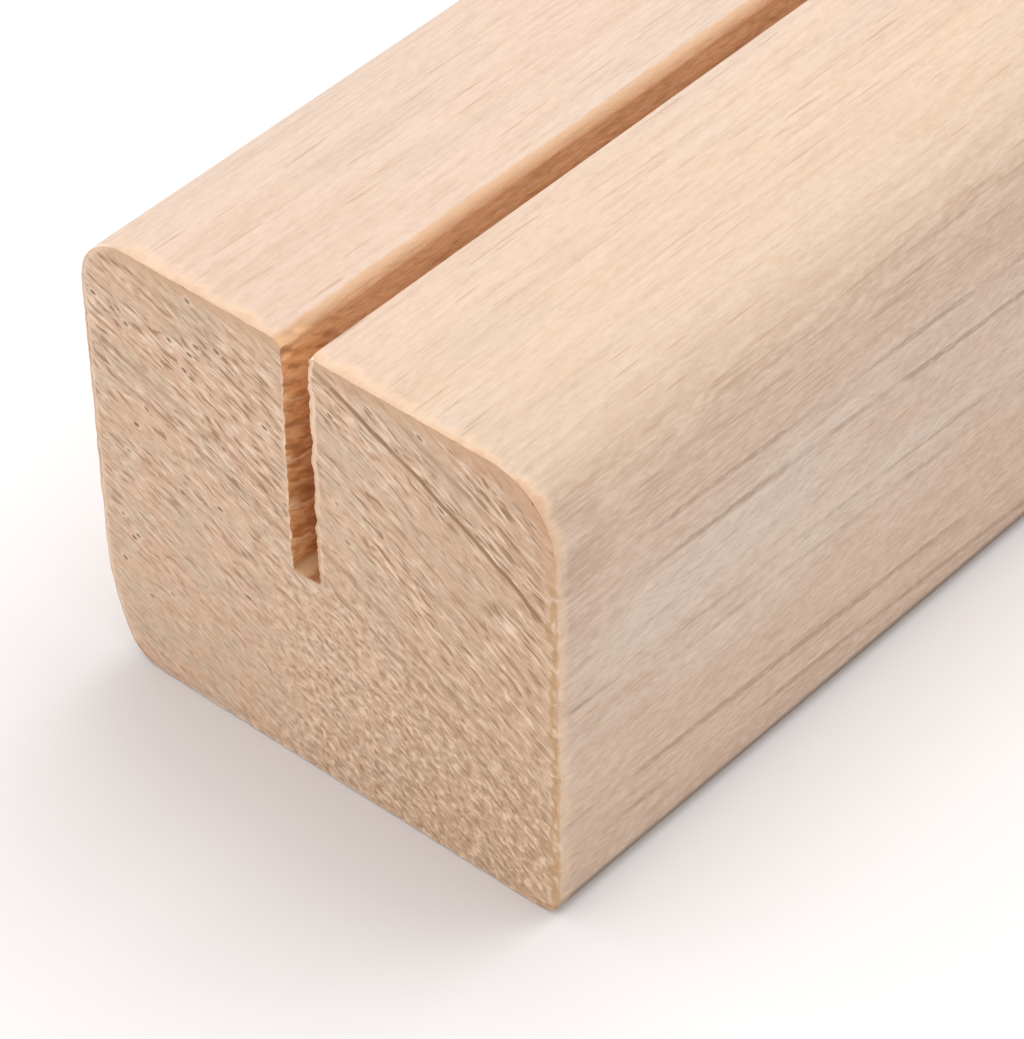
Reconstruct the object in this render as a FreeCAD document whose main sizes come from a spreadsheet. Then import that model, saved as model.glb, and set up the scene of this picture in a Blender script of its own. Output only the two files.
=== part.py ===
import FreeCAD, Part
import math
import os

import Sketcher
from FreeCAD import Vector

# A photo block holder: one solid block of pale hardwood with a saw kerf along its top.
# X runs along the grain and the kerf, Y from front to back, Z up from the table.
# The origin lies on the table under the middle of the block. Lengths are millimetres.

node_name = "slotted_block"

# Every size that a maker would set by itself, with what it measures.
driving_sizes = [
    ("block_length", 120.0, "along the grain"),
    ("block_width", 40.0, "front face to back face"),
    ("block_height", 36.0, "table to top face"),
    ("top_front_round", 5.3, "radius of the large rounding along the front of the top"),
    ("top_back_round", 4.2, "radius of the rounding along the back of the top"),
    ("front_foot_round", 1.6, "radius of the small rounding along the front of the foot"),
    ("back_foot_round", 3.0, "radius where the back of the foot meets the underside"),
    ("back_foot_sweep", 20.0, "radius of the slow curve that leads the back face into the foot"),
    ("back_foot_rise", 9.6, "height above the table where that slow curve starts"),
    ("end_ease", 0.3, "radius sanded on the arrises of both sawn ends"),
    ("kerf_width", 2.3, "one pass of a thin saw blade"),
    ("kerf_depth", 18.8, "top face to the flat floor of the kerf"),
    ("kerf_set_back", 1.1, "the kerf's middle behind the middle of the block"),
    ("back_lip_ease", 0.8, "radius sanded on the back lip of the kerf, where a print leans"),
    ("front_lip_ease", 0.1, "radius left on the crisp front lip of the kerf"),
    ("overrun", 4.0, "how far a cut runs past the wood"),
]
size = {name: value for name, value, note in driving_sizes}

doc = FreeCAD.newDocument("PhotoBlockHolder")


def add_size_sheet():
    sheet = doc.addObject("Spreadsheet::Sheet", "Sizes")
    for row, (name, value, note) in enumerate(driving_sizes, start=1):
        sheet.set(f"A{row}", name)
        sheet.set(f"B{row}", str(value))
        sheet.set(f"C{row}", note)
        sheet.setAlias(f"B{row}", name)
    doc.recompute()
    return sheet


def add_sketch(body, name, role):
    # A sketch on one of the body's own origin planes.
    plane = next(item for item in body.Origin.OriginFeatures if item.Role == role)
    sketch = body.newObject("Sketcher::SketchObject", name)
    sketch.AttachmentSupport = [(plane, "")]
    sketch.MapMode = "FlatFace"
    return sketch


def line(start, end):
    return Part.LineSegment(Vector(*start, 0), Vector(*end, 0))


def arc(centre, radius, first_angle, last_angle):
    circle = Part.Circle(Vector(*centre, 0), Vector(0, 0, 1), radius)
    return Part.ArcOfCircle(circle, first_angle, last_angle)


def constrain(sketch, kind, *where):
    return sketch.addConstraint(Sketcher.Constraint(kind, *where))


def dimension(sketch, kind, where, name, expression):
    # A named dimension that follows the sheet.
    value = sketch.evalExpression(expression)
    index = sketch.addConstraint(Sketcher.Constraint(kind, *where, float(value)))
    sketch.renameConstraint(index, name)
    sketch.setExpression(f"Constraints.{name}", expression)


# A curve's start, end and centre are its points 1, 2 and 3, and the level axis is curve -1.
start_point, end_point, centre_point = range(1, 4)
horizontal_axis = -1
sketch_origin = (horizontal_axis, start_point)
quarter = math.pi / 2
half_turn = math.pi


def draw_end_profile(sketch):
    # The outline of the sawn end: four corners, each rounded by its own amount.
    side = size["block_width"] / 2
    top = size["block_height"]
    front_top = size["top_front_round"]
    back_top = size["top_back_round"]
    front_foot = size["front_foot_round"]
    small = size["back_foot_round"]
    large = size["back_foot_sweep"]
    rise = size["back_foot_rise"]

    # Below the back face, a slow curve runs into a tighter one. They meet at this angle below level.
    join = math.asin((rise - small) / (large - small))
    foot_end = side - large + (large - small) * math.cos(join)

    curves = [
        line((front_foot - side, 0), (foot_end, 0)),
        arc((foot_end, small), small, -quarter, -join),
        arc((side - large, rise), large, -join, 0),
        line((side, rise), (side, top - back_top)),
        arc((side - back_top, top - back_top), back_top, 0, quarter),
        line((side - back_top, top), (front_top - side, top)),
        arc((front_top - side, top - front_top), front_top, quarter, half_turn),
        line((-side, top - front_top), (-side, front_foot)),
        arc((front_foot - side, front_foot), front_foot, half_turn, half_turn + quarter),
    ]
    sketch.addGeometry(curves, False)
    count = len(curves)
    (underside, foot_round, foot_sweep, back, back_top_arc,
     top_face, front_top_arc, front, foot_arc) = range(count)

    for curve in range(count):
        following = (curve + 1) % count
        constrain(sketch, "Tangent", curve, end_point, following, start_point)
    constrain(sketch, "Horizontal", underside)
    constrain(sketch, "Horizontal", top_face)
    constrain(sketch, "Vertical", back)
    constrain(sketch, "Vertical", front)
    constrain(sketch, "PointOnObject", underside, start_point, horizontal_axis)

    dimension(sketch, "Radius", (foot_round,), "back_foot", "Sizes.back_foot_round")
    dimension(sketch, "Radius", (foot_sweep,), "back_sweep", "Sizes.back_foot_sweep")
    dimension(sketch, "Radius", (back_top_arc,), "back_top", "Sizes.top_back_round")
    dimension(sketch, "Radius", (front_top_arc,), "front_top", "Sizes.top_front_round")
    dimension(sketch, "Radius", (foot_arc,), "front_foot", "Sizes.front_foot_round")
    dimension(sketch, "DistanceX", (front, start_point, *sketch_origin), "front_side",
              "Sizes.block_width / 2")
    dimension(sketch, "DistanceX", (*sketch_origin, back, end_point), "back_side",
              "Sizes.block_width / 2")
    dimension(sketch, "DistanceY", (*sketch_origin, top_face, start_point), "height",
              "Sizes.block_height")
    dimension(sketch, "DistanceY", (*sketch_origin, back, start_point), "rise",
              "Sizes.back_foot_rise")


def draw_kerf_profile(sketch):
    # What the saw and the sanding take away: parallel walls, a flat floor and two eased lips.
    top = size["block_height"]
    floor = top - size["kerf_depth"]
    front_wall = size["kerf_set_back"] - size["kerf_width"] / 2
    back_wall = size["kerf_set_back"] + size["kerf_width"] / 2
    front_lip = size["front_lip_ease"]
    back_lip = size["back_lip_ease"]
    above = top + size["overrun"]

    curves = [
        line((front_wall, floor), (back_wall, floor)),
        line((back_wall, floor), (back_wall, top - back_lip)),
        arc((back_wall + back_lip, top - back_lip), back_lip, quarter, half_turn),
        line((back_wall + back_lip, top), (back_wall + back_lip, above)),
        line((back_wall + back_lip, above), (front_wall - front_lip, above)),
        line((front_wall - front_lip, above), (front_wall - front_lip, top)),
        arc((front_wall - front_lip, top - front_lip), front_lip, 0, quarter),
        line((front_wall, top - front_lip), (front_wall, floor)),
    ]
    sketch.addGeometry(curves, False)
    kerf_floor, back, back_arc, back_rise, over, front_rise, front_arc, front = range(len(curves))

    for level in (kerf_floor, over):
        constrain(sketch, "Horizontal", level)
    for upright in (back, back_rise, front_rise, front):
        constrain(sketch, "Vertical", upright)
    constrain(sketch, "Coincident", front, end_point, kerf_floor, start_point)
    constrain(sketch, "Coincident", kerf_floor, end_point, back, start_point)
    constrain(sketch, "Tangent", back, end_point, back_arc, end_point)
    constrain(sketch, "Coincident", back_arc, start_point, back_rise, start_point)
    constrain(sketch, "Vertical", back_arc, centre_point, back_arc, start_point)
    constrain(sketch, "Coincident", back_rise, end_point, over, start_point)
    constrain(sketch, "Coincident", over, end_point, front_rise, start_point)
    constrain(sketch, "Coincident", front_rise, end_point, front_arc, end_point)
    constrain(sketch, "Vertical", front_arc, centre_point, front_arc, end_point)
    constrain(sketch, "Tangent", front_arc, start_point, front, start_point)

    dimension(sketch, "Radius", (back_arc,), "back_lip", "Sizes.back_lip_ease")
    dimension(sketch, "Radius", (front_arc,), "front_lip", "Sizes.front_lip_ease")
    dimension(sketch, "DistanceX", (kerf_floor, start_point, kerf_floor, end_point), "width",
              "Sizes.kerf_width")
    dimension(sketch, "DistanceX", (*sketch_origin, kerf_floor, end_point), "back_wall",
              "Sizes.kerf_set_back + Sizes.kerf_width / 2")
    dimension(sketch, "DistanceY", (*sketch_origin, kerf_floor, start_point), "floor",
              "Sizes.block_height - Sizes.kerf_depth")
    dimension(sketch, "DistanceY", (*sketch_origin, back_arc, start_point), "back_top",
              "Sizes.block_height")
    dimension(sketch, "DistanceY", (*sketch_origin, front_arc, end_point), "front_top",
              "Sizes.block_height")
    dimension(sketch, "DistanceY", (back_rise, start_point, back_rise, end_point), "above",
              "Sizes.overrun")


def end_edge_names(shape, half_length):
    # The edges that lie wholly in one of the two sawn ends.
    names = []
    for number, edge in enumerate(shape.Edges, start=1):
        distances = [abs(abs(vertex.X) - half_length) for vertex in edge.Vertexes]
        if max(distances) < Part.Precision.confusion():
            names.append(f"Edge{number}")
    return names


def build_slotted_block():
    body = doc.addObject("PartDesign::Body", "SlottedBlock")
    body.Label = node_name

    # The planed and rounded blank, as long as the block.
    profile = add_sketch(body, "EndProfile", "YZ_Plane")
    draw_end_profile(profile)
    blank = body.newObject("PartDesign::Pad", "Blank")
    blank.Profile = profile
    blank.SideType = "Symmetric"
    blank.setExpression("Length", "Sizes.block_length")
    doc.recompute()

    # Both sawn ends have their arrises sanded.
    eased = body.newObject("PartDesign::Fillet", "EasedEnds")
    eased.Base = (blank, end_edge_names(blank.Shape, size["block_length"] / 2))
    eased.setExpression("Radius", "Sizes.end_ease")
    doc.recompute()

    # The kerf runs out through both ends.
    cut = add_sketch(body, "KerfProfile", "YZ_Plane")
    draw_kerf_profile(cut)
    kerf = body.newObject("PartDesign::Pocket", "Kerf")
    kerf.Profile = cut
    kerf.SideType = "Symmetric"
    kerf.setExpression("Length", "Sizes.block_length + 2 * Sizes.overrun")
    body.Tip = kerf
    doc.recompute()
    return body, blank, eased, kerf


sizes_sheet = add_size_sheet()
block, blank, eased, kerf = build_slotted_block()
block.Placement = FreeCAD.Placement(Vector(0, 0, 0), FreeCAD.Rotation())
doc.recompute()

for item in doc.Objects:
    if "Invalid" in item.State or "Error" in item.State:
        raise RuntimeError(f"{item.Label} did not rebuild: {item.State}")
for item in doc.Objects:
    if item.TypeId == "Sketcher::SketchObject" and not item.FullyConstrained:
        raise RuntimeError(f"{item.Label} is not fully constrained")
if block.Shape.isNull() or not block.Shape.isValid() or len(block.Shape.Solids) != 1:
    raise RuntimeError("the block is not one valid solid")

# Easing takes a little wood off, and the kerf takes at least the straight part of its own section.
blank_volume = blank.Shape.Volume
eased_volume = eased.Shape.Volume
kerfed_volume = kerf.Shape.Volume
straight_depth = size["kerf_depth"] - size["back_lip_ease"]
plain_kerf = size["kerf_width"] * straight_depth * size["block_length"]
print("blank", round(blank_volume), "eased", round(eased_volume), "with kerf", round(kerfed_volume))
if not eased_volume < blank_volume:
    raise RuntimeError("easing the ends took nothing off")
if not eased_volume - kerfed_volume > plain_kerf:
    raise RuntimeError("the kerf cut too little")

os.makedirs("parts", exist_ok=True)
block.Shape.exportStep(os.path.join("parts", block.Label + ".step"))
print("wrote", block.Label, "box", block.Shape.optimalBoundingBox(False, False))
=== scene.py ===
import math
from types import SimpleNamespace

import bmesh
import bpy
import numpy as np
from mathutils import Euler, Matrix, Vector, kdtree, noise


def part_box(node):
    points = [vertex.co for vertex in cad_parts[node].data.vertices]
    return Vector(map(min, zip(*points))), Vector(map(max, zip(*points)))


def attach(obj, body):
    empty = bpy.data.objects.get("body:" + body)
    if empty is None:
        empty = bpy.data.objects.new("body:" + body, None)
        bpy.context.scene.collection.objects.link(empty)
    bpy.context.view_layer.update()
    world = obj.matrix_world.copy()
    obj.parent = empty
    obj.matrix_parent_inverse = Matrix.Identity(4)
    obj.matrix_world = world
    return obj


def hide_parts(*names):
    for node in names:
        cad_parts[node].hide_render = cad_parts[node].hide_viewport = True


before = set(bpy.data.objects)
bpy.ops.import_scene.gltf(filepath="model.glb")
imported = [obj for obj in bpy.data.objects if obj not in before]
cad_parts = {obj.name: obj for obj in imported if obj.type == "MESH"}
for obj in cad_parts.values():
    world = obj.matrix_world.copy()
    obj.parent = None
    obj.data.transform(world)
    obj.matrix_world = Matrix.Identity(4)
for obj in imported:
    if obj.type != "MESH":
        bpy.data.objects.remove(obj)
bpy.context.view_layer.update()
mm = 0.001
hair = 1e-3                   # places nearer than this, in millimetres, are the same place
print("frame loaded")

# The block holder. Lengths are millimetres; X runs along the grain, Y to the back, Z up.
blockShape = {
    "topFrontRound": 5.3,
    "topBackRound": 4.2,
    "frontFootRound": 1.6,
    "backFootRound": 3.0,
    "backSweep": 20.0,        # slow curve that leads the back face into its foot
    "backSweepRise": 9.6,
    "sweepStarts": 3.0,       # the sweep comes in this far behind the middle
    "sweepFull": 1.0,         # and is whole this far short of the foot's rounding
    "kerfFront": -0.05,       # the kerf's two walls and its floor
    "kerfBack": 2.25,
    "kerfFloor": 17.2,
    "backLipEase": 0.8,
    "frontLipEase": 0.1,
    "endEase": 0.22,          # most that the arrises of the sawn ends are worn
    "kerfEase": 0.08,
    "easeSteps": 4,
    "evenWear": 0.72,         # share of the ease that every arris has, and the least that any has
    "leastWear": 0.1,
    "wearWaves": ((0.28, 0.45), (0.12, 1.7)),      # how strong and how fine each wave of wear is
    "arrisSpread": 0.5,       # how far the marks of wear reach from an arris and from the kerf's rim
    "rimSpread": 0.35,
    "gapReach": 4.0,
    "lipReach": 0.5,
    "endSkin": 0.01,          # points this near to an end, a side of the kerf or the table are on it
    "kerfSkin": 0.02,
    "tableSkin": 0.05,
    "smoothAngle": 38,        # edges between faces that turn less than this look smooth
    "pitch": 0.28,            # spacing of the rows over most of a sawn end
    "besideKerfPitch": 0.238,
    "edgeRows": (0.27, 0.42, 0.62),
    "kerfRows": (0.11, 0.24, 0.39, 0.58, 0.8),
    "topRows": (0.25, 0.42, 0.6, 0.8),
    "endStations": (0.27, 0.42, 0.62, 0.86, 1.15, 1.5, 1.95, 2.5, 3.2, 4.1, 5.2, 6.6, 8.4,
                    10.6, 13.4, 17.0, 21.5, 27.0, 33.5, 41.0, 50.0),
}

low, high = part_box("slotted_block")
blockSize = (high - low) / mm
halfLength = blockSize.x / 2
backFace = blockSize.y / 2
frontFace = -backFace
top = blockSize.z


def makeActive(piece):
    bpy.ops.object.select_all(action="DESELECT")
    piece.select_set(True)
    bpy.context.view_layer.objects.active = piece


def editMesh(piece):
    makeActive(piece)
    bpy.ops.object.mode_set(mode="EDIT")
    bpy.ops.mesh.select_all(action="DESELECT")


def pickFaces(piece, test):
    # selects the faces whose middle passes the test, in millimetres
    bpy.ops.mesh.select_mode(type="FACE")
    bpy.ops.mesh.select_all(action="DESELECT")
    shape = bmesh.from_edit_mesh(piece.data)
    for face in shape.faces:
        if test(face.calc_center_median() / mm):
            face.select_set(True)
    bmesh.update_edit_mesh(piece.data)


def pickEdges(piece, test):
    # selects the edges whose two ends pass the test, in millimetres
    bpy.ops.mesh.select_mode(type="EDGE")
    bpy.ops.mesh.select_all(action="DESELECT")
    shape = bmesh.from_edit_mesh(piece.data)
    for edge in shape.edges:
        if test(edge.verts[0].co / mm, edge.verts[1].co / mm):
            edge.select_set(True)
    shape.select_flush_mode()
    bmesh.update_edit_mesh(piece.data)


def cutAcross(axis, places):
    # planes square to one axis, cut right through
    normal = [0, 0, 0]
    normal[axis] = 1
    for place in places:
        point = [0, 0, 0]
        point[axis] = place * mm
        bpy.ops.mesh.select_all(action="SELECT")
        bpy.ops.mesh.bisect(plane_co=point, plane_no=normal, threshold=1e-7)


def divideBand(piece, axis, start, end, pitch):
    # even rows between two cuts
    def spans(first, second):
        lower, upper = sorted((first[axis], second[axis]))
        return abs(lower - start) < hair and abs(upper - end) < hair
    cuts = round((end - start) / pitch) - 1
    if cuts > 0:
        pickEdges(piece, spans)
        bpy.ops.mesh.subdivide(number_cuts=cuts)


def sawKerf(piece, shape):
    # score its walls and floor, take the waste out, and close the three faces
    front, back, floor = shape["kerfFront"], shape["kerfBack"], shape["kerfFloor"]
    cutAcross(1, (front, back))
    cutAcross(2, (floor,))
    pickFaces(piece, lambda middle: front < middle.y < back and middle.z > floor)
    bpy.ops.mesh.delete(type="FACE")

    def kerfEnd(first, second):
        inside = all(front - hair < point.y < back + hair and point.z > floor - hair
                     for point in (first, second))
        acrossBy, upBy = abs(first.y - second.y), abs(first.z - second.z)
        upright = acrossBy < hair and upBy > 1
        onFloor = abs(first.z - floor) < hair and abs(second.z - floor) < hair and acrossBy > 1
        return inside and (upright or onFloor)
    pickEdges(piece, kerfEnd)
    bpy.ops.mesh.bridge_edge_loops()


def addRows(piece, shape):
    # rows that follow every arris, then even rows between them
    front, back, floor = shape["kerfFront"], shape["kerfBack"], shape["kerfFloor"]
    rows, kerfRows, topRows = shape["edgeRows"], shape["kerfRows"], shape["topRows"]
    stations = [halfLength - step for step in shape["endStations"]]
    cutAcross(0, [-place for place in stations] + [0] + stations[::-1])
    levels = list(rows) + [floor - step for step in kerfRows] + [floor + step for step in kerfRows]
    levels += [top - step for step in topRows]
    columns = [frontFace + step for step in rows] + [backFace - step for step in rows]
    columns += [front - step for step in kerfRows] + [back + step for step in kerfRows]
    cutAcross(2, levels)
    cutAcross(1, columns)
    pitch = shape["pitch"]
    divideBand(piece, 1, frontFace + rows[-1], front - kerfRows[-1], pitch)
    divideBand(piece, 1, front, back, pitch)
    divideBand(piece, 1, back + kerfRows[-1], backFace - rows[-1], pitch)
    divideBand(piece, 2, rows[-1], floor - kerfRows[-1], pitch)
    divideBand(piece, 2, floor + kerfRows[-1], top - topRows[-1], shape["besideKerfPitch"])


def makeBlock(shape):
    bpy.ops.object.select_all(action="DESELECT")
    bpy.ops.mesh.primitive_cube_add(size=1, location=(low + high) / 2, scale=high - low)
    piece = bpy.context.active_object
    piece.name = "solid_hardwood_block"
    piece.data.name = piece.name
    bpy.ops.object.transform_apply(location=True, rotation=True, scale=True)
    editMesh(piece)
    sawKerf(piece, shape)
    addRows(piece, shape)
    bpy.ops.mesh.select_all(action="SELECT")
    bpy.ops.mesh.normals_make_consistent(inside=False)
    bpy.ops.object.mode_set(mode="OBJECT")
    return piece


def roundCorner(y, z, cornerY, cornerZ, outY, outZ, radius):
    # the square at a corner becomes rings about the rounding's centre, so every row follows it
    centreY = cornerY - outY * radius
    centreZ = cornerZ - outZ * radius
    u = (y - centreY) * outY / radius
    v = (z - centreZ) * outZ / radius
    inside = (u > 1e-9) & (v > 1e-9) & (u < 1.001) & (v < 1.001)
    ring = np.maximum(u, v)[inside]
    small = np.minimum(u, v)[inside]
    turn = math.pi / 4 * small / ring
    turn = np.where(u[inside] >= v[inside], turn, math.pi / 2 - turn)
    y, z = y.copy(), z.copy()
    y[inside] = centreY + outY * radius * ring * np.cos(turn)
    z[inside] = centreZ + outZ * radius * ring * np.sin(turn)
    return y, z


def readPoints(piece):
    points = np.empty(len(piece.data.vertices) * 3)
    piece.data.vertices.foreach_get("co", points)
    return points.reshape(-1, 3) / mm


def writePoints(piece, points):
    piece.data.vertices.foreach_set("co", (points * mm).ravel())
    piece.data.update()


def sectionOf(y, z, shape, lips=True):
    # the roundings of the end outline, then the slow sweep of the back foot
    corners = [(frontFace, top, -1, 1, "topFrontRound"),
               (backFace, top, 1, 1, "topBackRound"),
               (frontFace, 0, -1, -1, "frontFootRound"),
               (backFace, 0, 1, -1, "backFootRound")]
    if lips:
        corners += [(shape["kerfBack"], top, -1, 1, "backLipEase"),
                    (shape["kerfFront"], top, 1, 1, "frontLipEase")]
    for cornerY, cornerZ, outY, outZ, radius in corners:
        y, z = roundCorner(y, z, cornerY, cornerZ, outY, outZ, shape[radius])
    tight, wide, rise = shape["backFootRound"], shape["backSweep"], shape["backSweepRise"]
    join = tight * (1 - (rise - tight) / (wide - tight))
    level = np.clip(z, join, rise)
    plain = backFace - tight + np.sqrt(tight ** 2 - np.clip(tight - level, 0, tight) ** 2)
    swept = backFace - wide + np.sqrt(wide ** 2 - (rise - level) ** 2)
    starts = shape["sweepStarts"]
    fade = np.clip((y - starts) / (backFace - tight - shape["sweepFull"] - starts), 0, 1)
    return y - (plain - swept) * fade * fade * (3 - 2 * fade), z


def shapeSection(piece, shape):
    points = readPoints(piece)
    y, z = sectionOf(points[:, 1], points[:, 2], shape)
    writePoints(piece, np.stack([points[:, 0], y, z], axis=1))


def outlineTree(shape):
    # points all round the finished end outline, for finding how far in a point lies
    step = 0.1
    across = np.arange(frontFace, backFace + step / 2, step)
    upward = np.arange(0, top + step / 2, step)
    y = np.concatenate([across, across, np.full(len(upward), frontFace), np.full(len(upward), backFace)])
    z = np.concatenate([np.zeros(len(across)), np.full(len(across), top), upward, upward])
    y, z = sectionOf(y, z, shape, False)
    tree = kdtree.KDTree(len(y))
    for index, point in enumerate(zip(y, z)):
        tree.insert((0, *point), index)
    tree.balance()
    return tree


def measureGaps(piece, shape):
    # for every point: how far it is from the end's arris, from the kerf's edge on that end
    # and from the end itself, and whether it is on a wall or the floor of the kerf
    points = readPoints(piece)
    tree = outlineTree(shape)
    reach = shape["gapReach"]
    fromEnd = halfLength - np.abs(points[:, 0])
    near = fromEnd < reach
    inset = np.zeros(len(points))
    for index in np.flatnonzero(near):
        inset[index] = tree.find((0, points[index, 1], points[index, 2]))[2]
    arris = np.where(near, np.hypot(inset, fromEnd), reach)
    asideY = np.maximum(shape["kerfFront"] - points[:, 1], points[:, 1] - shape["kerfBack"])
    asideZ = shape["kerfFloor"] - points[:, 2]
    outside = np.hypot(np.maximum(asideY, 0), np.maximum(asideZ, 0))
    inside = np.minimum(np.maximum(asideY, asideZ), 0)
    rim = np.hypot(outside + inside, fromEnd)
    skin = shape["kerfSkin"]
    onKerf = (np.abs(outside + inside) < skin) & (points[:, 2] < top - skin)
    return np.minimum(arris, reach), np.minimum(rim, reach), fromEnd, onKerf


def easeEnds(piece, shape):
    # the arrises of both sawn ends, worn more in some places than in others; the kerf's stay sharper
    skin = shape["kerfSkin"]
    weights = piece.data.attributes.new("bevel_weight_edge", "FLOAT", "EDGE")
    mesh = bmesh.new()
    mesh.from_mesh(piece.data)
    mesh.edges.ensure_lookup_table()
    for edge in mesh.edges:
        ends = [vertex.co / mm for vertex in edge.verts]
        if any(abs(abs(end.x) - halfLength) > hair for end in ends):
            continue
        if len(edge.link_faces) == 2 and edge.calc_face_angle() > 1:
            middle = (ends[0] + ends[1]) / 2
            worn = shape["evenWear"]
            for strong, fine in shape["wearWaves"]:
                worn += strong * noise.noise(middle * fine)
            besideKerf = shape["kerfFront"] - skin < middle.y < shape["kerfBack"] + shape["lipReach"]
            if besideKerf and middle.z > shape["kerfFloor"] - skin:
                worn *= shape["kerfEase"] / shape["endEase"]
            weights.data[edge.index].value = min(max(worn, shape["leastWear"]), 1)
    mesh.free()
    makeActive(piece)
    bpy.ops.object.modifier_add(type="BEVEL")
    bevel = piece.modifiers[-1]
    bevel.limit_method = "WEIGHT"
    bevel.width = shape["endEase"] * mm
    bevel.segments = shape["easeSteps"]
    bevel.use_clamp_overlap = False
    bpy.ops.object.modifier_apply(modifier=bevel.name)


def nameGroup(piece, name, weights):
    group = piece.vertex_groups.new(name=name)
    levels = np.round(weights, 2)
    for level in np.unique(levels[levels > 0]):
        group.add(np.flatnonzero(levels == level).tolist(), float(level), "REPLACE")


def roughen(piece, relief):
    # one Displace modifier each: a noise as long and as wide as the wood's own marks
    makeActive(piece)
    for name, mark in relief.items():
        guide = bpy.data.objects.new(name, None)
        bpy.context.scene.collection.objects.link(guide)
        guide.scale = Vector(mark["grain"]) * mm
        guide.rotation_euler = (math.radians(mark.get("tilt", 0)), 0, 0)
        bpy.context.view_layer.update()
        pattern = bpy.data.textures.new(name, "CLOUDS")
        pattern.noise_scale = 1
        pattern.noise_depth = mark.get("depth", 1)
        bpy.ops.object.modifier_add(type="DISPLACE")
        push = piece.modifiers[-1]
        push.texture = pattern
        push.texture_coords = "OBJECT"
        push.texture_coords_object = guide
        push.vertex_group = mark["group"]
        push.direction = mark.get("along", "NORMAL")
        push.mid_level = mark.get("middle", 0.5)
        push.strength = mark["by"] * mm
        bpy.ops.object.modifier_apply(modifier=push.name)
        bpy.data.objects.remove(guide)
        bpy.data.textures.remove(pattern)


def chipArrises(piece, chips):
    # small chips: the points near each place are pressed in, most at its middle
    points = readPoints(piece)
    for place, reach, press in chips:
        gap = np.linalg.norm(points - np.array(place), axis=1) / reach
        points += ((1 - np.clip(gap, 0, 1) ** 2) ** 2)[:, None] * np.array(press)
    writePoints(piece, points)


block = makeBlock(blockShape)
print("block blocked out", len(block.data.vertices), "points", len(block.data.polygons), "faces")
shapeSection(block, blockShape)
print("section rounded")
easeEnds(block, blockShape)
print("ends eased", len(block.data.vertices), "points", len(block.data.polygons), "faces")

arrisGap, rimGap, fromEnd, onKerf = measureGaps(block, blockShape)
onEnd = fromEnd < blockShape["endSkin"]
offTable = readPoints(block)[:, 2] > blockShape["tableSkin"]
nameGroup(block, "sawnEnds", onEnd * 1.0)
nameGroup(block, "arrises", np.exp(-(arrisGap / blockShape["arrisSpread"]) ** 2))
nameGroup(block, "kerfRims", np.exp(-(rimGap / blockShape["rimSpread"]) ** 2))
nameGroup(block, "kerfWalls", onKerf * 1.0)
nameGroup(block, "longFaces", (~onEnd & ~onKerf & offTable) * 1.0)

# each mark: which faces it is on, how long it is along X, Y and Z, how it leans and how deep it goes
blockRelief = {
    "longRipple": {"group": "longFaces", "grain": (45, 6, 6), "by": 0.07, "middle": 1.0},
    "sawWander": {"group": "sawnEnds", "grain": (9, 9, 4), "tilt": 20, "by": 0.12, "middle": 1.0},
    "tornGrain": {"group": "sawnEnds", "grain": (5, 1.3, 0.4), "tilt": 25, "by": 0.13, "middle": 1.0,
                  "depth": 2},
    "wornArris": {"group": "arrises", "grain": (1.1, 0.8, 0.8), "by": 0.17, "middle": 1.0, "depth": 2},
    "raggedRim": {"group": "kerfRims", "grain": (0.9, 0.5, 0.65), "by": 0.5, "along": "Y", "depth": 2},
    "bladeMarks": {"group": "kerfWalls", "grain": (7, 3, 1.3), "by": 0.1},
}
# place, reach and press of each chip: the kerf's back lip first, then the upright arris of the near end
chips = (
    ((-59.3, 2.5, 35.9), 0.9, (0.0, 0.2, -0.25)),
    ((-59.5, 2.3, 34.9), 0.6, (0.0, 0.3, 0.0)),
    ((-57.8, 2.6, 35.8), 0.6, (0.0, 0.15, -0.3)),
    ((-60.0, 2.5, 32.0), 0.6, (0.3, 0.1, 0.0)),
    ((-60.0, -20.0, 27.2), 0.8, (0.25, 0.2, 0.0)),
    ((-60.0, -20.0, 23.1), 0.6, (0.2, 0.15, 0.0)),
    ((-60.0, -20.0, 18.3), 0.9, (0.35, 0.3, 0.0)),
    ((-60.0, -20.0, 15.6), 0.6, (0.2, 0.15, 0.0)),
    ((-60.0, -20.0, 12.0), 0.8, (0.3, 0.3, 0.0)),
    ((-60.0, -20.0, 6.4), 0.7, (0.25, 0.2, 0.0)),
)
roughen(block, blockRelief)
chipArrises(block, chips)
# nothing stands proud of the planed size
writePoints(block, np.clip(readPoints(block), np.array(low) / mm, np.array(high) / mm))
for name, gap in (("arris", arrisGap), ("kerfRim", rimGap)):
    block.data.attributes.new(name, "FLOAT", "POINT").data.foreach_set("value", gap.astype(np.float32))
print("surfaces roughened")


class Wire:
    # one value in a material; Python's own operators add the Math nodes
    def __init__(self, net, socket):
        self.net = net
        self.socket = socket

    def __add__(self, other):
        return self.net.sums("ADD", self, other)

    def __radd__(self, other):
        return self.net.sums("ADD", other, self)

    def __sub__(self, other):
        return self.net.sums("SUBTRACT", self, other)

    def __rsub__(self, other):
        return self.net.sums("SUBTRACT", other, self)

    def __mul__(self, other):
        return self.net.sums("MULTIPLY", self, other)

    def __rmul__(self, other):
        return self.net.sums("MULTIPLY", other, self)

    def __truediv__(self, other):
        return self.net.sums("DIVIDE", self, other)

    def also(self, output):
        # another output of the same node
        return Wire(self.net, self.socket.node.outputs[output])


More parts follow.
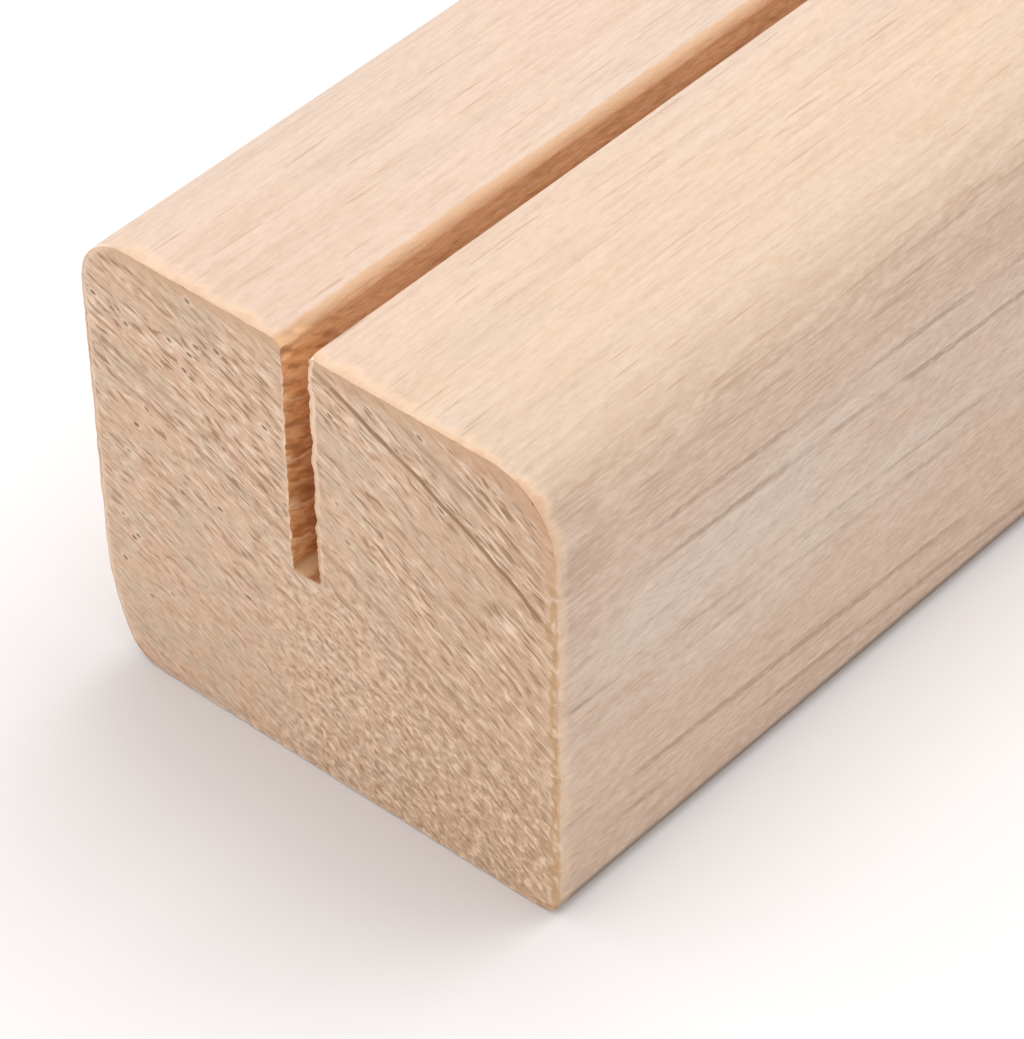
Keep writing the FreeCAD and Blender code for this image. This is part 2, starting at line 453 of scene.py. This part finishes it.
class Net:
    # the nodes of one material or world
    def __init__(self, name, owner=None):
        self.material = owner or bpy.data.materials.new(name)
        self.material.use_nodes = True
        self.tree = self.material.node_tree
        self.tree.nodes.clear()

    def node(self, kind, settings=None, values=None, output=0):
        # settings first, then the values or links of the sockets
        made = self.tree.nodes.new("ShaderNode" + kind)
        for name, value in (settings or {}).items():
            if name == "stops":
                ramp = made.color_ramp
                while len(ramp.elements) < len(value):
                    ramp.elements.new(1)
                for element, (place, level) in zip(ramp.elements, value):
                    element.position = place
                    element.color = (level, level, level, 1)
            else:
                setattr(made, name, value)
        for name, value in (values or {}).items():
            socket = made.inputs[name]
            if isinstance(value, Wire):
                self.tree.links.new(value.socket, socket)
            else:
                socket.default_value = value
        return Wire(self, made.outputs[output]) if made.outputs else None

    def sums(self, operation, *numbers):
        return self.node("Math", {"operation": operation}, dict(enumerate(numbers)))

    def split(self, vector):
        parts = self.node("SeparateXYZ", None, {"Vector": vector}).socket.node
        return [Wire(self, part) for part in parts.outputs]

    def join(self, x, y, z):
        return self.node("CombineXYZ", None, {"X": x, "Y": y, "Z": z})

    def noise(self, vector, detail, rough=0.5, twist=0.0, scale=1.0):
        return self.node("TexNoise", None, {"Vector": vector, "Scale": scale, "Detail": detail,
                                            "Roughness": rough, "Distortion": twist})

    def between(self, value, first, last, start=0.0, end=1.0, soft=True):
        # start before the first level, end past the last, and a slope from one to the other
        return self.node("MapRange", {"interpolation_type": "SMOOTHSTEP" if soft else "LINEAR"},
                         {"Value": value, "From Min": first, "From Max": last,
                          "To Min": start, "To Max": end})

    def mix(self, factor, first, second):
        return self.node("Mix", {"data_type": "RGBA"}, {0: factor, 6: first, 7: second}, 2)

    def lines(self, value, start, end, places, width, lead=1.0):
        # thin lines along one value, each at its own place and strength
        span = end - start
        stops = [(0.0, 0.0)]
        for place, strength in places:
            middle = (place - start) / span
            stops.append((middle - width * lead / span, 0.0))
            stops.append((middle, strength))
            stops.append((middle + width / span, 0.0))
        return self.node("ValToRGB", {"stops": stops}, {"Fac": (value - start) / span})


def colour(red, green, blue):
    return (red, green, blue, 1)


# Pale hardwood, the same wood all through: growth rings about a pith below and behind the block.
# Patterns: how fine they are along X, Y and Z, where they start, their detail and roughness.
# Marks: their pattern, the levels where they begin and are full, how strong, their colour and where.
wood = {
    "pithY": 40.0,
    "pithZ": -62.0,
    "lean": 0.045,            # how far the grain falls away from level, per millimetre of length
    "wander": 1.0,            # how far the rings stray from true circles, and how much they ripple
    "ripple": 0.4,
    "wanderPattern": ((0.014, 0.085, 0.085), 0.0, 1),
    "ripplePattern": ((0.05, 0.5, 0.5), 0.0, 1),
    "ringsFrom": 62.0,        # each ring's radius and how dark it is
    "ringsTo": 118.0,
    "rings": ((71.5, 0.3), (79.0, 0.3), (84.6, 0.4), (89.8, 1.0), (91.9, 1.0), (98.0, 0.5),
              (99.7, 0.7), (105.3, 1.0), (107.9, 1.0), (113.4, 0.5)),
    "ringWidth": 0.2,
    "ringLead": 1.6,          # a ring darkens this much more slowly than it ends
    "clearRing": 105.3,       # one ring is much clearer than the rest
    "arcsFrom": 16.0,         # the blade's arcs in the kerf: the height and strength of each
    "arcsTo": 36.0,
    "arcs": ((18.4, 0.5), (19.6, 0.9), (22.5, 0.8), (24.3, 0.4), (26.4, 0.9), (29.0, 0.5),
             (31.3, 0.6), (33.2, 0.5)),
    "arcWidth": 0.22,
    "ringRadius": 95.0,       # a middling radius, so that places round the pith are in millimetres too
    "streakY": 70.0,          # the torn streaks curve a little less than the rings
    "streakZ": -110.0,
    "streakRadius": 150.0,
    "streakRipple": 0.3,
    "closedShare": 0.76,      # share of the pores that stay closed
    "poreSize": 0.23,         # how wide a pore and its pale rim are, and how softly each ends
    "poreSlope": 0.15,
    "poreRim": 0.38,
    "poreRimSlope": 0.12,
    "longPatterns": {
        "drift": ((0.045, 0.16, 0.16), 3.0, 1),
        "fibre": ((1.2, 4.0, 4.0), 0.0, 1, 0.6),
        "band": ((0.04, 1.1, 1.1), 8.0, 1),
        "dash": ((0.2, 1.7, 1.7), 5.0, 1),
        "vessel": ((0.13, 3.4, 3.4), 2.0, 0),
        "short": ((0.22, 4.6, 4.6), 9.0, 0),
        "straight": ((0.16, 3.2, 3.2), 15.0, 1),
        "stretch": ((0.1, 0.4, 0.5), 11.0, 1),
    },
    "fineMarks": (
        ("fibre", 0.5, 0.7, 0.36, "longDark", "calmer on top"),
        ("fibre", 0.5, 0.3, 0.42, "longPale", "calmer on top"),
        ("sanded", 0.5, 0.7, 0.22, "longDark", "calmer on top"),
        ("sanded", 0.5, 0.3, 0.3, "longPale", "calmer on top"),
        ("band", 0.5, 0.7, 0.14, "longDark", "everywhere"),
        ("band", 0.5, 0.3, 0.14, "longPale", "everywhere"),
    ),
    "longerMarks": (
        ("dash", 0.6, 0.68, 0.4, "longDark", "by the top corners"),
        ("dash", 0.4, 0.32, 0.3, "longPale", "by the top corners"),
        ("vessel", 0.66, 0.74, 0.55, "longDark", "by the top corners"),
        ("short", 0.72, 0.82, 0.5, "longRed", "everywhere"),
        ("straight", 0.54, 0.66, 0.13, "longDark", "on top"),
        ("straight", 0.46, 0.34, 0.12, "longPale", "on top"),
    ),
    "endMarks": (
        ("speck", 0.53, 0.66, 0.68, "crumbDark", "where it crumbles"),
        ("speck", 0.48, 0.34, 0.78, "crumbPale", "where it crumbles"),
        ("streak", 0.47, 0.34, 0.65, "endPale", "where it is torn"),
        ("streak", 0.56, 0.67, 0.75, "endDark", "where it is torn"),
    ),
    "kerfMarks": (
        ("teeth", 0.52, 0.62, 0.7, "kerfPale", "less further in"),
        ("teeth", 0.48, 0.38, 0.65, "kerfDark", "less further in"),
        ("fibres", 0.52, 0.64, 0.5, "kerfDark", "less further in"),
        ("fibres", 0.48, 0.36, 0.6, "kerfPale", "less further in"),
    ),
    "gloss": 0.35,
    "endRougher": 0.18,       # how much rougher the sawn ends are than the planed faces
    "fibreHeight": 0.00004,   # heights in metres
    "streakHeight": 0.00024,
    "speckHeight": 0.0001,
    "poreDepth": 0.00008,
    "teethHeight": 0.0001,
    "long": colour(0.64, 0.487, 0.375),
    "longPink": colour(0.632, 0.458, 0.355),
    "longGold": colour(0.635, 0.466, 0.332),
    "longGrey": colour(0.605, 0.478, 0.385),
    "longDark": colour(0.43, 0.29, 0.20),
    "longPale": colour(0.72, 0.565, 0.45),
    "longRed": colour(0.44, 0.26, 0.17),
    "roundGold": colour(0.55, 0.425, 0.30),
    # painted sheen: the grey of the white surroundings reflecting off the side
    "sideSheen": colour(0.60, 0.49, 0.40),
    "sideWarm": colour(0.565, 0.415, 0.305),
    # painted shade low on the side, by the floor; also used for the darker tone high up by the near end
    "sideFoot": colour(0.50, 0.36, 0.265),
    # painted shade: a thin dark contact line along the foot of the front
    "footShadeLine": colour(0.22, 0.165, 0.125),
    "ringLine": colour(0.36, 0.25, 0.175),
    "end": colour(0.70, 0.485, 0.335),
    "endPink": colour(0.70, 0.465, 0.325),
    "endGrey": colour(0.645, 0.485, 0.355),
    "endTan": colour(0.60, 0.40, 0.26),
    "endDark": colour(0.36, 0.215, 0.12),
    "endPale": colour(0.93, 0.72, 0.545),
    "crumbDark": colour(0.40, 0.235, 0.125),
    "crumbPale": colour(0.92, 0.695, 0.485),
    "pore": colour(0.20, 0.115, 0.06),
    "arrisTan": colour(0.61, 0.365, 0.22),
    "arrisPale": colour(0.78, 0.56, 0.375),
    "arrisDark": colour(0.55, 0.32, 0.15),
    "kerf": colour(0.74, 0.385, 0.17),
    "kerfDeep": colour(0.66, 0.275, 0.09),
    "kerfPale": colour(0.86, 0.52, 0.26),
    "kerfDark": colour(0.42, 0.19, 0.075),
    "kerfArc": colour(0.90, 0.62, 0.38),
    # painted light: the wall further in is made paler where the kerf's own shade would fall
    "kerfInnerLit": colour(0.88, 0.59, 0.36),     # the wall further in, paler than at the end
    "kerfTop": colour(0.76, 0.43, 0.235),      # and the same just under its lip
    "kerfLip": colour(0.60, 0.35, 0.19),
    "kerfFloor": colour(0.74, 0.48, 0.26),
    "kerfChip": colour(0.72, 0.46, 0.24),
}


def addPattern(net, at, fine, start, detail, rough=0.5):
    return net.noise(net.join(at.x * fine[0], at.y * fine[1], at.z * fine[2] + start), detail, rough)


def grainPlaces(net, look):
    # where a point is on the block, in millimetres, which way it faces, and where it grew in the tree
    at = SimpleNamespace()
    at.place = net.node("VectorMath", {"operation": "SCALE"},
                        {0: net.node("TexCoord", output=3), "Scale": 1 / mm})
    x, y, z = at.x, at.y, at.z = net.split(at.place)
    facing = net.split(net.node("NewGeometry", output=1))
    at.onEnd = net.between(net.sums("ABSOLUTE", facing[0]), 0.55, 0.8)
    at.onTop = net.between(facing[2], 0.5, 0.85)
    at.onFront = net.between(facing[1] * -1.0, 0.3, 0.95)
    at.onFront = at.onFront * net.between(y, frontFace + 12.0, frontFace + 8.0)
    at.arris = net.node("Attribute", {"attribute_name": "arris"}, output=2)
    at.rim = net.node("Attribute", {"attribute_name": "kerfRim"}, output=2)
    at.edge = net.noise(at.place, 2, 0.65, scale=0.6)      # makes the edges of the finishes uneven

    # out from the pith and round it
    wander = addPattern(net, at, *look["wanderPattern"]) - 0.5
    ripple = addPattern(net, at, *look["ripplePattern"]) - 0.5
    overY = y - look["pithY"]
    overZ = z - look["pithZ"] + (x + halfLength) * look["lean"]
    at.out = net.sums("SQRT", overY * overY + overZ * overZ)
    at.out = at.out + wander * look["wander"] + ripple * look["ripple"]
    at.around = net.sums("ARCTAN2", overY, overZ) * look["ringRadius"]

    # along the torn streaks and across them
    streakY = y - look["streakY"]
    streakZ = z - look["streakZ"]
    at.along = net.sums("ARCTAN2", streakY, streakZ) * look["streakRadius"]
    at.across = net.sums("SQRT", streakY * streakY + streakZ * streakZ) + ripple * look["streakRipple"]

    # growth rings, as thin broken dark lines
    ring = net.lines(at.out, look["ringsFrom"], look["ringsTo"], look["rings"],
                     look["ringWidth"], look["ringLead"])
    broken = net.noise(net.join(x * 0.045, at.around * 0.14, at.out * 0.3), 1)
    offTop = net.between(facing[2], 0.6, 0.3)
    at.ring = net.between(ring, 0.05, 0.5) * net.between(broken, 0.28, 0.46) * offTop
    return at


def addMarks(net, look, tone, marks, patterns, areas, soft=False):
    # one colour after another, each as strong as its pattern and its area allow
    for pattern, begin, full, most, paint, area in marks:
        shown = net.between(patterns[pattern], begin, full, 0.0, most, soft) * areas[area]
        tone = net.mix(shown, tone, look[paint])
    return tone


def longFaces(net, look, at):
    # fine short fibres along the grain, finer marks across it from sanding, a few longer dashes
    x, y, z = at.x, at.y, at.z
    patterns = {name: addPattern(net, at, *pattern) for name, pattern in look["longPatterns"].items()}
    slanting = net.join(x * 0.5, (y - x * 0.2) * 1.5, (z - x * 0.12) * 1.5 + 7.0)
    patterns["sanded"] = net.noise(slanting, 1, 0.6)
    drift, fibre = patterns["drift"], patterns["fibre"]

    tone = net.mix(net.between(y, 2.0, -9.0), look["long"], look["longGold"])
    tone = net.mix(net.between(drift, 0.4, 0.62, 0.0, 0.6), tone, look["longPink"])
    tone = net.mix(net.between(drift, 0.5, 0.35, 0.0, 0.6), tone, look["longGrey"])
    overRounding = net.between(y, frontFace + 11.0, frontFace + 4.5, 0.0, 0.6)
    tone = net.mix(overRounding, tone, look["roundGold"])
    # painted sheen: a paler grey band across the middle of the side, where the white surroundings reflect at
    # a grazing angle
    sheenBand = net.between(drift, 0.62, 0.38, 0.3, 1.0)
    sheenBand = sheenBand * net.between(z, 9.0, 15.0) * net.between(z, 29.0, 23.0)
    nearTop = net.between(x, 8.0 - halfLength, 1.0 - halfLength, 0.0, 0.85) * net.between(z, 15.0, 28.0)
    side = net.mix(sheenBand, look["sideWarm"], look["sideSheen"])
    # painted shade: the side turns darker and warmer towards its foot, where the floor shades it
    side = net.mix(net.between(z, 4.5, 1.5), side, look["sideFoot"])
    side = net.mix(nearTop, side, look["sideFoot"])
    tone = net.mix(at.onFront, tone, side)

    byCorners = net.between(net.sums("ABSOLUTE", z - (top - 5.0)), 9.0, 1.0, 0.5, 1.0)
    areas = {
        "everywhere": 1.0,
        "on top": at.onTop,
        "calmer on top": 0.8 - at.onTop * 0.42,
        "by the top corners": (1.0 - at.onTop * 0.6) * byCorners,
    }
    tone = addMarks(net, look, tone, look["fineMarks"], patterns, areas)
    tone = addMarks(net, look, tone, look["longerMarks"], patterns, areas, soft=True)
    ring = at.ring * net.between(fibre, 0.3, 0.55, 0.4, 0.75)
    ring = ring * net.between(patterns["stretch"], 0.4, 0.56, 0.25, 1.0)
    tone = net.mix(ring, tone, look["ringLine"])
    # painted shade: a thin dark line along the foot of the front, where it meets the floor
    tone = net.mix(at.onFront * net.between(z, 1.8, 1.2), tone, look["footShadeLine"])
    height = (0.5 - fibre) * look["fibreHeight"] + (0.5 - patterns["sanded"]) * look["fibreHeight"]
    return tone, height, net.between(fibre, 0.3, 0.7, 0.5, 0.62)


def sawnEnds(net, look, at):
    # torn streaks that follow the rings, crumbs, pores with pale rims, soft patches
    x, y, z = at.x, at.y, at.z
    patch = net.noise(net.join(at.around * 0.13, at.out * 0.3, x * 0.02), 1)
    greyer = net.noise(net.join(at.around * 0.2 + 5.0, at.out * 0.45, x * 0.02), 1)
    streak = net.noise(net.join(at.along * 0.62, at.across * 3.0, x * 0.3), 1, 0.6, 0.35)
    speck = net.noise(net.join(at.along * 1.3, at.across * 2.3, x * 0.3 + 4.0), 1, 0.7, 0.5)
    tone = net.mix(net.between(patch, 0.42, 0.58, 0.0, 0.8), look["end"], look["endPink"])
    tone = net.mix(net.between(greyer, 0.45, 0.62, 0.0, 0.7), tone, look["endGrey"])
    tone = net.mix(net.between(y + z * 0.3, 8.0, -16.0, 0.0, 0.75), tone, look["endTan"])

    # crumbly towards the front foot; how strongly the saw has torn each patch
    grainy = net.between(z - y * 0.3, 26.0, 10.0) * net.between(y, 8.0, 0.0)
    torn = net.between(patch, 0.35, 0.52, 0.4, 1.0) * (1.0 - grainy * 0.35)
    areas = {
        "where it crumbles": 0.25 + grainy * 0.75,
        "where it is torn": torn * net.between(z - y * 0.1, 4.0, 22.0, 0.55, 1.2),
    }
    tone = addMarks(net, look, tone, look["endMarks"], {"speck": speck, "streak": streak}, areas)

    poreGrid = net.join(at.along * 0.6, at.across * 1.2, x * 0.2)
    fromPore = net.node("TexVoronoi", {"feature": "F1"},
                        {"Vector": poreGrid, "Scale": 1.0, "Randomness": 1.0})
    chance = net.split(fromPore.also(1))[0]
    chosen = net.between(chance, look["closedShare"], look["closedShare"] + 0.01)
    chosen = chosen * net.between(y + z, 10.0, 32.0, 0.3, 1.0)
    pore = net.between(fromPore, look["poreSize"], look["poreSize"] - look["poreSlope"]) * chosen
    rim = net.between(fromPore, look["poreRim"], look["poreRim"] - look["poreRimSlope"])
    rim = rim * chosen - pore
    tone = net.mix(rim * 0.45, tone, look["endPale"])
    tone = net.mix(pore * 0.8, tone, look["pore"])
    clear = net.between(net.sums("ABSOLUTE", at.out - look["clearRing"]), 1.0, 0.7)
    tone = net.mix(at.ring * (clear * 0.6 + 0.4), tone, look["endDark"])
    height = (0.5 - streak) * look["streakHeight"] + (0.5 - speck) * look["speckHeight"]
    return tone, height - pore * look["poreDepth"]


def wornArrises(net, look, at, tone):
    # a cream band along the arrises of the ends, browner round the top, with a thin tan line winding
    # along the upright arris of the front
    x, y, z, arris, onEnd = at.x, at.y, at.z, at.arris, at.onEnd
    worn = arris + (at.edge - 0.5) * 2.6
    frontCorner = net.between(y, frontFace + 6.0, frontFace + 2.0)
    aboveFoot = net.between(z, 2.0, 26.0, 0.6, 1.0) * net.between(y, backFace - 1.0, backFace - 6.0, 0.1, 1.0)
    aboveFoot = aboveFoot * net.sums("MAXIMUM", net.between(z, 1.5, 4.0), frontCorner)
    crown = net.between(z, top - 10.0, top - 2.0)
    tone = net.mix(net.between(worn, 1.5, 0.4, 0.0, 0.55) * aboveFoot, tone, look["arrisPale"])
    # round the front corner the band is wider and browner
    turned = net.between(y, frontFace + 11.0, frontFace + 5.0)
    tan = net.between(worn - onEnd * (turned * 0.5 + 0.6), 0.8, -0.1, 0.0, 0.5)
    tone = net.mix(tan * aboveFoot * crown * (turned * 0.5 + 1.0), tone, look["arrisTan"])
    backEdge = net.between(arris, 0.6, 0.2) * net.between(y, backFace - 3.5, backFace - 1.5)
    tone = net.mix(backEdge * 0.7, tone, look["endPale"])

    bend = net.noise(net.join(0.0, y * 0.5, z * 0.55), 2)
    chip = net.noise(net.join(x * 0.4, at.across * 0.9, 0.0), 1, 0.6)
    winding = net.sums("ABSOLUTE", arris - onEnd * (bend - 0.35) * 2.2 - 0.1) + (chip - 0.5) * 0.7
    corner = net.between(y, frontFace + 5.0, frontFace + 2.0) * (1.0 - crown)
    tone = net.mix(net.between(winding, 0.28, 0.06, 0.0, 0.7) * corner, tone, look["arrisDark"])
    chipped = net.between(chip, 0.56, 0.66, 0.0, 0.45) * net.between(arris, 0.8, 0.3)
    return net.mix(chipped * corner, tone, look["endPale"])


def sawnKerf(net, look, at, tone):
    # browned by the saw: mottled fibres above, long arcs of the blade's teeth below
    x, y, z, edge, onEnd = at.x, at.y, at.z, at.edge, at.onEnd
    front, back, floor = (blockShape[side] for side in ("kerfFront", "kerfBack", "kerfFloor"))
    middle = (front + back) / 2
    lip = net.between(y + (edge - 0.5) * 0.4, back + 0.9, back + 0.6)
    lip = lip * net.between(y, middle - 0.3, middle + 0.1) * net.between(z, top - 1.0, top - 0.4)
    lip = lip * (1.0 - onEnd)
    tone = net.mix(lip * 0.85, tone, look["kerfLip"])
    inKerf = net.between(y, front - 0.3, front - 0.15) * net.between(y, back + 1.35, back + 1.05)
    inKerf = inKerf * net.between(z, top - 0.1, top - 0.7) * net.between(z, floor - 0.5, floor - 0.2)
    inKerf = inKerf * (1.0 - onEnd)
    deep = x + halfLength
    near = net.sums("MINIMUM", deep, 4.0)
    sweep = z + near * 0.5 - near * near * 0.06
    teeth = net.noise(net.join(x * 0.35, y * 0.4, sweep), 2, 0.65)
    fibres = net.noise(net.join(x * 0.7, y * 0.4, (z + x * 0.35) * 1.7), 1, 0.6, 0.5)

    wall = net.mix(net.between(z, top - 1.5, top - 16.0), look["kerf"], look["kerfDeep"])
    # painted light: further in from the end the wall is made paler, lifting the shade deep in the kerf
    litInner = net.mix(net.between(z, top - 0.3, top - 2.2), look["kerfTop"], look["kerfInnerLit"])
    wall = net.mix(net.between(deep, 1.5, 6.0, 0.0, 0.85), wall, litInner)
    areas = {"less further in": net.between(deep, 3.0, 9.0, 1.0, 0.45)}
    wall = addMarks(net, look, wall, look["kerfMarks"], {"teeth": teeth, "fibres": fibres}, areas)
    arc = net.lines(sweep + (fibres - 0.5) * 1.2, look["arcsFrom"], look["arcsTo"], look["arcs"],
                    look["arcWidth"])
    wall = net.mix(arc * net.between(deep, 9.0, 2.0), wall, look["kerfArc"])
    # painted shade: a dark line in the notch under the chipped lip, by the end
    notchShade = net.between(deep, 1.3, 0.9) * net.between(net.sums("ABSOLUTE", z - (top - 1.1)), 0.4, 0.15)
    wall = net.mix(notchShade * 0.8, wall, look["kerfDark"])
    underLip = net.between(z, top - 1.3, top - 0.7) * net.between(y, back - 0.75, back - 0.25)
    wall = net.mix(underLip * 0.6, wall, look["kerfLip"])
    lighter = net.between(y + (fibres - 0.5) * 1.5, middle - 0.4, middle + 0.4)
    ground = net.mix(lighter, look["kerfDark"], look["kerfFloor"])
    onGround = net.between(z, floor + 0.5, floor + 0.1, 0.0, 0.95) * net.between(deep, 3.0, 1.5)
    wall = net.mix(onGround, wall, ground)
    chipped = net.between(deep, 2.2, 1.2) * net.between(z, top - 1.1, top - 0.6)
    wall = net.mix(chipped * 0.8, wall, look["kerfChip"])
    tone = net.mix(inKerf, tone, wall)

    # its cream rims on the end: the front one all the way down, the back one below the lip; the front one is
    # torn fibres and partly a painted highlight where that rim catches the light
    cream = net.between(at.rim + (edge - 0.5) * 0.5, 0.4, 0.15) * net.between(z, floor - 0.4, floor + 0.4)
    frontRimFrayAndHighlight = cream * net.between(y, front + 0.55, front + 0.25)
    frontRimFrayAndHighlight = frontRimFrayAndHighlight * net.between(z, floor + 0.8, top - 5.0, 0.45, 0.95)
    backRim = cream * onEnd * net.between(y, back - 0.45, back - 0.05)
    backRim = backRim * net.between(z, top - 1.5, top - 4.0, 0.0, 0.7)
    tone = net.mix(frontRimFrayAndHighlight, tone, look["endPale"])
    tone = net.mix(backRim, tone, look["endPale"])
    return tone, (teeth - 0.5) * inKerf * look["teethHeight"]


def woodMaterial(look):
    net = Net("pale_hardwood")
    at = grainPlaces(net, look)
    longTone, longHeight, longRough = longFaces(net, look, at)
    endTone, endHeight = sawnEnds(net, look, at)
    tone = net.mix(at.onEnd, longTone, endTone)
    tone = wornArrises(net, look, at, tone)
    tone, kerfHeight = sawnKerf(net, look, at, tone)
    height = net.node("Mix", {"data_type": "FLOAT"}, {0: at.onEnd, 2: longHeight, 3: endHeight})
    bump = net.node("Bump", None, {"Height": height + kerfHeight, "Strength": 1.0, "Distance": 1.0})
    surface = net.node("BsdfPrincipled", None, {
        "Base Color": tone, "Roughness": longRough + at.onEnd * look["endRougher"],
        "Specular IOR Level": look["gloss"], "Normal": bump})
    net.node("OutputMaterial", None, {"Surface": surface})
    return net.material


block.data.materials.clear()
block.data.materials.append(woodMaterial(wood))
makeActive(block)
bpy.ops.object.shade_smooth_by_angle(angle=math.radians(blockShape["smoothAngle"]))
print("wood finished")

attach(block, "root")
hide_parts("slotted_block")

# Camera, floor and light, in metres and degrees.
studio = {
    "cameraPlace": (-0.22028, -0.16121, 0.22549),
    "cameraTurn": (48.1802, 0.8237, -48.6859),
    "lens": 168.06,
    "sensor": 36,
    "nearest": 0.01,
    "furthest": 20,
    "floorSize": 6,
    "floor": colour(0.797, 0.783, 0.783),
    "floorRough": 0.9,
    "floorGloss": 0.1,
    "sky": colour(1.0, 0.985, 0.985),
    "skyStrength": 0.948,
    "skyLean": (0.15, 0.12, 0.2),      # the sky is brighter this way and dimmer the other way
    "keyPower": 3.96,
    "keySize": 0.77,
    "keyPlace": (0.404, -0.052, 0.802),
    "keyAim": (0, 0, 0.018),
}
camera = bpy.data.objects.new("camera", bpy.data.cameras.new("camera"))
bpy.context.scene.collection.objects.link(camera)
camera.location = studio["cameraPlace"]
camera.rotation_euler = Euler([math.radians(angle) for angle in studio["cameraTurn"]])
camera.data.sensor_fit = "VERTICAL"
camera.data.sensor_height = studio["sensor"]
camera.data.lens = studio["lens"]
camera.data.clip_start = studio["nearest"]
camera.data.clip_end = studio["furthest"]
bpy.context.scene.camera = camera

bpy.ops.object.select_all(action="DESELECT")
bpy.ops.mesh.primitive_plane_add(size=studio["floorSize"])
floor = bpy.context.active_object
floor.name = "pale_floor"
net = Net("pale_floor")
net.node("OutputMaterial", None, {"Surface": net.node("BsdfPrincipled", None, {
    "Base Color": studio["floor"], "Roughness": studio["floorRough"],
    "Specular IOR Level": studio["floorGloss"]})})
floor.data.materials.append(net.material)

world = bpy.data.worlds.new("studio")
sky = Net("studio", world)
towards = sky.node("VectorMath", {"operation": "DOT_PRODUCT"},
                   {0: sky.node("TexCoord"), 1: studio["skyLean"]}, 1)
sky.node("OutputWorld", None, {"Surface": sky.node("Background", None, {
    "Color": studio["sky"], "Strength": towards + studio["skyStrength"]})})
bpy.context.scene.world = world

key = bpy.data.objects.new("key_light", bpy.data.lights.new("key_light", "AREA"))
bpy.context.scene.collection.objects.link(key)
key.data.energy = studio["keyPower"]
key.data.size = studio["keySize"]
key.location = studio["keyPlace"]
key.rotation_euler = (Vector(studio["keyAim"]) - key.location).to_track_quat("-Z", "Y").to_euler()
bpy.context.scene.view_settings.view_transform = "Standard"
print("studio lit")
